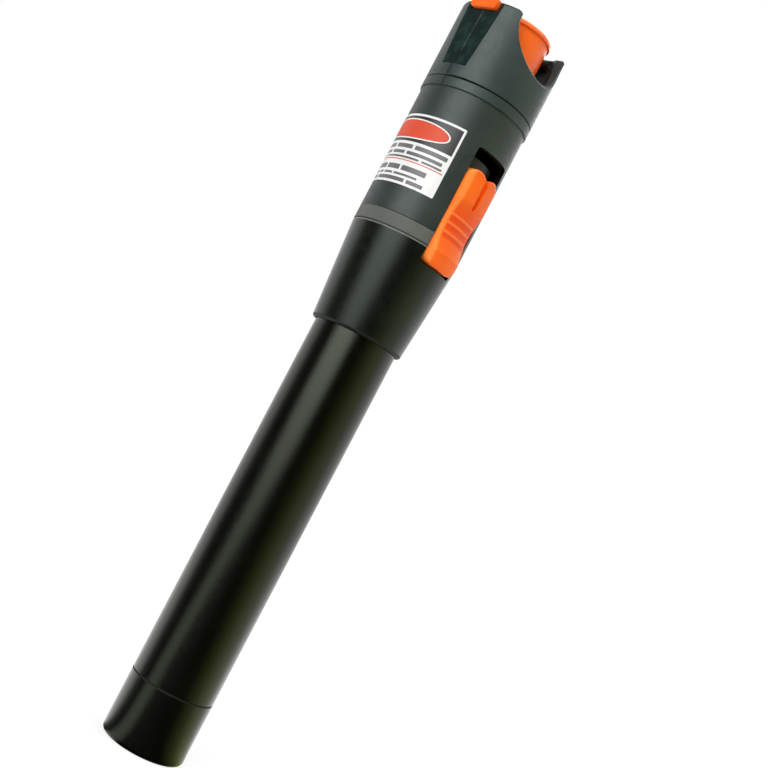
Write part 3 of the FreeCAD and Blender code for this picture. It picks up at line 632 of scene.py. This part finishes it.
def dress_cad_nodes():
    orange = moulded(
        "orange_plastic", (0.94, 0.122, 0.006), (1.0, 0.150, 0.008), 0.28, 0.36,
        grain=0.35 * MM, depth=0.004 * MM,
    )
    inner = moulded("inner_black", (0.014, 0.016, 0.016), (0.03, 0.033, 0.033), 0.4, 0.55)
    steel = turned_metal("steel", grey(0.42), grey(0.62), 0.25)
    brass = turned_metal("brass", (0.55, 0.37, 0.13), (0.76, 0.55, 0.24), 0.25)
    board = moulded("board_green", (0.012, 0.10, 0.035), (0.02, 0.15, 0.05), 0.3, 0.42)
    dress(painted_barrel(), "battery_tube", "tail_cap")
    dress(glossy_neck(), "neck_cone")
    dress(matte_band(), "band_ring")
    dress(barrel_plastic(), "head_body")
    dress(ring_plastic(), "head_ring")
    dress(cap_plastic(), "head_cap")
    dress(orange, "dust_lid")
    dress(thumb_plastic(), "switch_button")
    dress(inner, "switch_carrier", "chassis")
    dress(moulded("lever_white", grey(0.62), grey(0.74), 0.35, 0.45), "switch_lever")
    dress(moulded("seal_rubber", grey(0.012), grey(0.024), 0.55, 0.7), "tail_seal")
    dress(steel, "tail_spring", "lid_hinge_pin", "board_screws", "laser_diode", "slide_switch_body")
    dress(brass, "tail_contact_plate", "front_contact", "laser_barrel")
    dress(turned_metal("port_nickel", grey(0.5), grey(0.72), 0.2), "ferrule_adapter")
    dress(cell_wrap(), "battery_rear", "battery_front")
    dress(board, "circuit_board", "contact_insulator")
    dress(moulded("sleeve_ceramic", grey(0.72), grey(0.82), 0.12, 0.2), "ceramic_sleeve")
    dress(lens_glass(), "focus_lens")


# ---------------------------------------------------------------- added pieces


def add_piece(name, points, faces, material, body, smooth=True):
    """Mesh that rides a body, with one material slot for its finish."""
    mesh = bpy.data.meshes.new(name)
    mesh.from_pydata(points, [], faces)
    mesh.materials.append(material)
    for polygon in mesh.polygons:
        polygon.use_smooth = smooth
    mesh.update()
    piece = add_object(name, mesh)
    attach(piece, body)


def surface_x(node, height, side=-1):
    """Where the side of a CAD node is at a height, at -X or with side 1 at +X."""
    clear = 5 * MM
    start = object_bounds()[0].x - clear if side < 0 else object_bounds()[1].x + clear
    _, place, _, _ = NODES[node].ray_cast(Vector((start, 0, height)), Vector((-side, 0, 0)))
    return place.x


# ---- the label: ink on a foil that follows the head's curve

HEAD_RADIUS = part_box("head_body")[1].x
LABEL_AZIMUTH = math.radians(-101.5)
LABEL_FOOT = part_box("head_body")[1].z - 26.8 * MM
LABEL_WIDTH = 25.4 * MM
LABEL_HEIGHT = 16.08 * MM
LABEL_SPLIT = 9.65 * MM  # foot of the dark field
LABEL_CORNER = 0.25 * MM
FRAME_WIDTH = 0.5 * MM
OVAL_HALF_WIDTH = 10.4 * MM
OVAL_HALF_HEIGHT = 2.35 * MM
OVAL_OUTLINE = 0.3 * MM
OVAL_BLUNTNESS = 2.3  # 2 is an ellipse, more is blunter
OVAL_STEPS = 64
OVAL_LEAST = 0.001 * MM  # half height at the very ends
RULE_FOOT = 5.25 * MM
RULE_HEIGHT = 0.22 * MM
# Plain grey rows on the white field, in mm: foot and top above the label's foot, half width.
LABEL_ROWS = [
    (8.05, 9.00, 11.85),
    (6.70, 7.45, 11.30),
    (5.78, 6.25, 11.70),
    (3.05, 4.20, 9.30),
    (1.90, 2.40, 7.90),
    (0.55, 1.40, 9.80),
]
# Blocks of a row and the gaps after them, in shares of the row's width.
ROW_BLOCKS = [
    [(0.40, 0.03), (0.21, 0.03), (0.33, 0.0)],
    [(0.24, 0.03), (0.10, 0.03), (0.18, 0.03), (0.39, 0.0)],
    [(0.30, 0.03), (0.44, 0.03), (0.20, 0.0)],
]
ROW_CORNER = 0.12 * MM
SHARP_CORNER = 0.001 * MM
CORNER_STEPS = 8
LABEL_FACET = 0.35 * MM
LABEL_BASE_LIFT = 0.03 * MM
INK_LIFT = 0.012 * MM


def add_ink(name, columns, layer, material):
    """Strip of ink from columns of (distance round the head, foot, head); layer counts up from the foil."""
    radius = HEAD_RADIUS + LABEL_BASE_LIFT + layer * INK_LIFT
    points = []
    for around, foot, head in columns:
        angle = LABEL_AZIMUTH + around / HEAD_RADIUS
        for height in (foot, head):
            points.append((radius * math.sin(angle), -radius * math.cos(angle), LABEL_FOOT + height))
    faces = [(2 * i, 2 * i + 2, 2 * i + 3, 2 * i + 1) for i in range(len(columns) - 1)]
    add_piece(name, points, faces, material, "housing")


def add_field(name, left, right, foot, head, corner, layer, material):
    """Rounded rectangle of ink."""
    quarter = []
    for step in range(CORNER_STEPS + 1):
        angle = math.pi / 2 * step / CORNER_STEPS
        quarter.append((corner * (1 - math.cos(angle)), corner * (1 - math.sin(angle))))
    straight = right - left - 2 * corner
    steps = max(1, round(straight / LABEL_FACET))
    outline = [(left + inward, inset) for inward, inset in quarter]
    outline += [(left + corner + straight * step / steps, 0.0) for step in range(1, steps)]
    outline += [(right - inward, inset) for inward, inset in reversed(quarter)]
    add_ink(name, [(around, foot + inset, head - inset) for around, inset in outline], layer, material)


def add_oval(name, half_width, half_height, middle, layer, material):
    """Blunt-ended oval of ink."""
    columns = []
    for step in range(OVAL_STEPS + 1):
        share = math.sin(math.pi * (step / OVAL_STEPS - 0.5))
        fullness = max(0.0, 1 - abs(share) ** OVAL_BLUNTNESS) ** (1 / OVAL_BLUNTNESS)
        reach = half_height * fullness + OVAL_LEAST
        columns.append((half_width * share, middle - reach, middle + reach))
    add_ink(name, columns, layer, material)


def make_label():
    """Generic label: dark field with a plain red oval, over a white field with a rule and plain rows."""
    white = printed("label_white", grey(0.80))
    dark = printed("label_dark", grey(0.030))
    red = printed("label_red", (0.66, 0.062, 0.018), 0.55)
    row_ink = printed("label_grey", grey(0.13))
    half = LABEL_WIDTH / 2
    inner = half - FRAME_WIDTH
    top = LABEL_HEIGHT - FRAME_WIDTH
    middle = (LABEL_SPLIT + top) / 2
    add_field("label_foil", -half, half, 0, LABEL_HEIGHT, LABEL_CORNER, 0, white)
    add_field("label_dark_field", -inner, inner, LABEL_SPLIT, top, SHARP_CORNER, 1, dark)
    add_oval("label_bar_outline", OVAL_HALF_WIDTH, OVAL_HALF_HEIGHT, middle, 2, white)
    add_oval("label_bar", OVAL_HALF_WIDTH - OVAL_OUTLINE, OVAL_HALF_HEIGHT - OVAL_OUTLINE, middle, 3, red)
    add_field("label_rule", -inner, inner, RULE_FOOT, RULE_FOOT + RULE_HEIGHT, SHARP_CORNER, 1, red)
    for row, (foot, head, row_half) in enumerate(LABEL_ROWS):
        start = -row_half
        for block, (length, gap) in enumerate(ROW_BLOCKS[row % len(ROW_BLOCKS)]):
            end = start + 2 * row_half * length
            name = f"label_row_{row}_{block}"
            add_field(name, start * MM, end * MM, foot * MM, head * MM, ROW_CORNER, 1, row_ink)
            start = end + 2 * row_half * gap


# ---- the mould's parting line

BEAD_HALF_WIDTH = 0.09 * MM
BEAD_HEIGHT = 0.045 * MM
BEAD_SUNK = 0.05 * MM
BEAD_STEP = 0.25 * MM
BEAD_END_GAP = 0.3 * MM
TAB_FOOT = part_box("dust_lid")[1].z - 2.2 * MM


def add_bead(name, node, foot, head, material):
    """Fine bead up the -X side of a CAD node, flush with its surface at both ends."""
    steps = max(2, round((head - foot) / BEAD_STEP))
    points = []
    for step in range(steps + 1):
        z = foot + (head - foot) * step / steps
        surface = surface_x(node, z)
        crest = surface if step in (0, steps) else surface - BEAD_HEIGHT
        sunk = surface + BEAD_SUNK
        points += [(sunk, -BEAD_HALF_WIDTH, z), (crest, 0, z), (sunk, BEAD_HALF_WIDTH, z)]
    faces = []
    for step in range(steps):
        a, b = 3 * step, 3 * step + 3
        faces += [(a, a + 1, b + 1, b), (a + 1, a + 2, b + 2, b + 1)]
    add_piece(name, points, faces, material, "housing")


def make_parting_line():
    """Bead that the mould leaves down the middle of the near relief, over the cap's foot and the collar."""
    material = bead_plastic()
    below_tab = TAB_FOOT - 0.35 * MM
    add_bead("cap_bead", "head_cap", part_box("head_cap")[0].z + BEAD_END_GAP, below_tab, material)
    low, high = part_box("head_ring")
    add_bead("collar_bead", "head_ring", low.z + BEAD_END_GAP, high.z - BEAD_END_GAP, material)


# ---- sills in the cap's gates

HINGE_SILL_HALF_WIDTH = 2.56 * MM
HINGE_SILL = [  # side view, mm from the hinge pin's middle; the top follows the lid's arm
    (-0.75, -1.52),
    (1.15, -1.52),
    (1.15, -0.92),
    (1.00, -0.97),
    (0.62, -1.12),
    (0.00, -1.25),
    (-0.75, -1.25),
]
TAB_SILL_HALF_WIDTH = 3.70 * MM
TAB_SILL = [  # side view, mm from the relief's face and the tab's foot
    (0.25, -0.27),
    (0.85, -0.27),
    (0.85, -0.06),
    (0.25, -0.06),
]


def add_sill(name, x, z, profile, half_width, material):
    """Bar across a gate, its side view given from the point (x, z)."""
    points = []
    for y in (-half_width, half_width):
        points += [(x + across * MM, y, z + up * MM) for across, up in profile]
    count = len(profile)
    faces = [tuple(range(count)), tuple(range(2 * count - 1, count - 1, -1))]
    for corner in range(count):
        following = (corner + 1) % count
        faces.append((corner, count + corner, count + following, following))
    add_piece(name, points, faces, material, "housing", False)


def make_sills():
    """Low sills that close the gates of the lid's arm and tab, just clear of both."""
    material = head_plastic("sill_black").material
    low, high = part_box("lid_hinge_pin")
    pin = (low + high) / 2
    add_sill("hinge_sill", pin.x, pin.z, HINGE_SILL, HINGE_SILL_HALF_WIDTH, material)
    face = surface_x("head_cap", TAB_FOOT - 0.4 * MM)
    add_sill("tab_sill", face, TAB_FOOT, TAB_SILL, TAB_SILL_HALF_WIDTH, material)


# ---- the tail cap's thread

THREAD_PITCH = 1.0 * MM
THREAD_HEIGHT = 0.17 * MM
THREAD_HALF_WIDTH = 0.34 * MM
THREAD_SUNK = 0.03 * MM
THREAD_TURN_STEPS = 72
THREAD_END_STEPS = 12  # over which the ridge rises at its start and sinks at its end


def make_thread():
    """Thread on the tail cap's spigot, one ridge wound right-handed."""
    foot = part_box("tail_seal")[1].z + 0.5 * MM
    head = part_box("tail_cap")[1].z - 0.55 * MM
    root = surface_x("tail_cap", (foot + head) / 2, 1)
    sunk = root - THREAD_SUNK
    steps = round((head - foot) / THREAD_PITCH * THREAD_TURN_STEPS)
    points = []
    for step in range(steps + 1):
        angle = 2 * math.pi * step / THREAD_TURN_STEPS
        z = foot + THREAD_PITCH * step / THREAD_TURN_STEPS
        swell = min(1.0, step / THREAD_END_STEPS, (steps - step) / THREAD_END_STEPS)
        crest = root + THREAD_HEIGHT * swell
        for radius, rise in ((sunk, -THREAD_HALF_WIDTH), (crest, 0), (sunk, THREAD_HALF_WIDTH)):
            points.append((radius * math.cos(angle), radius * math.sin(angle), z + rise))
    faces = []
    for step in range(steps):
        a, b = 3 * step, 3 * step + 3
        faces += [(a, b, b + 1, a + 1), (a + 1, b + 1, b + 2, a + 2)]
    add_piece("spigot_thread", points, faces, painted_barrel(), "screw_cap")


make_camera()
make_world()
make_floor()
for lamp_settings in LAMPS:
    make_lamp(*lamp_settings)
dress_cad_nodes()
make_label()
make_parting_line()
make_sills()
make_thread()

bpy.context.scene.view_settings.view_transform = "Standard"
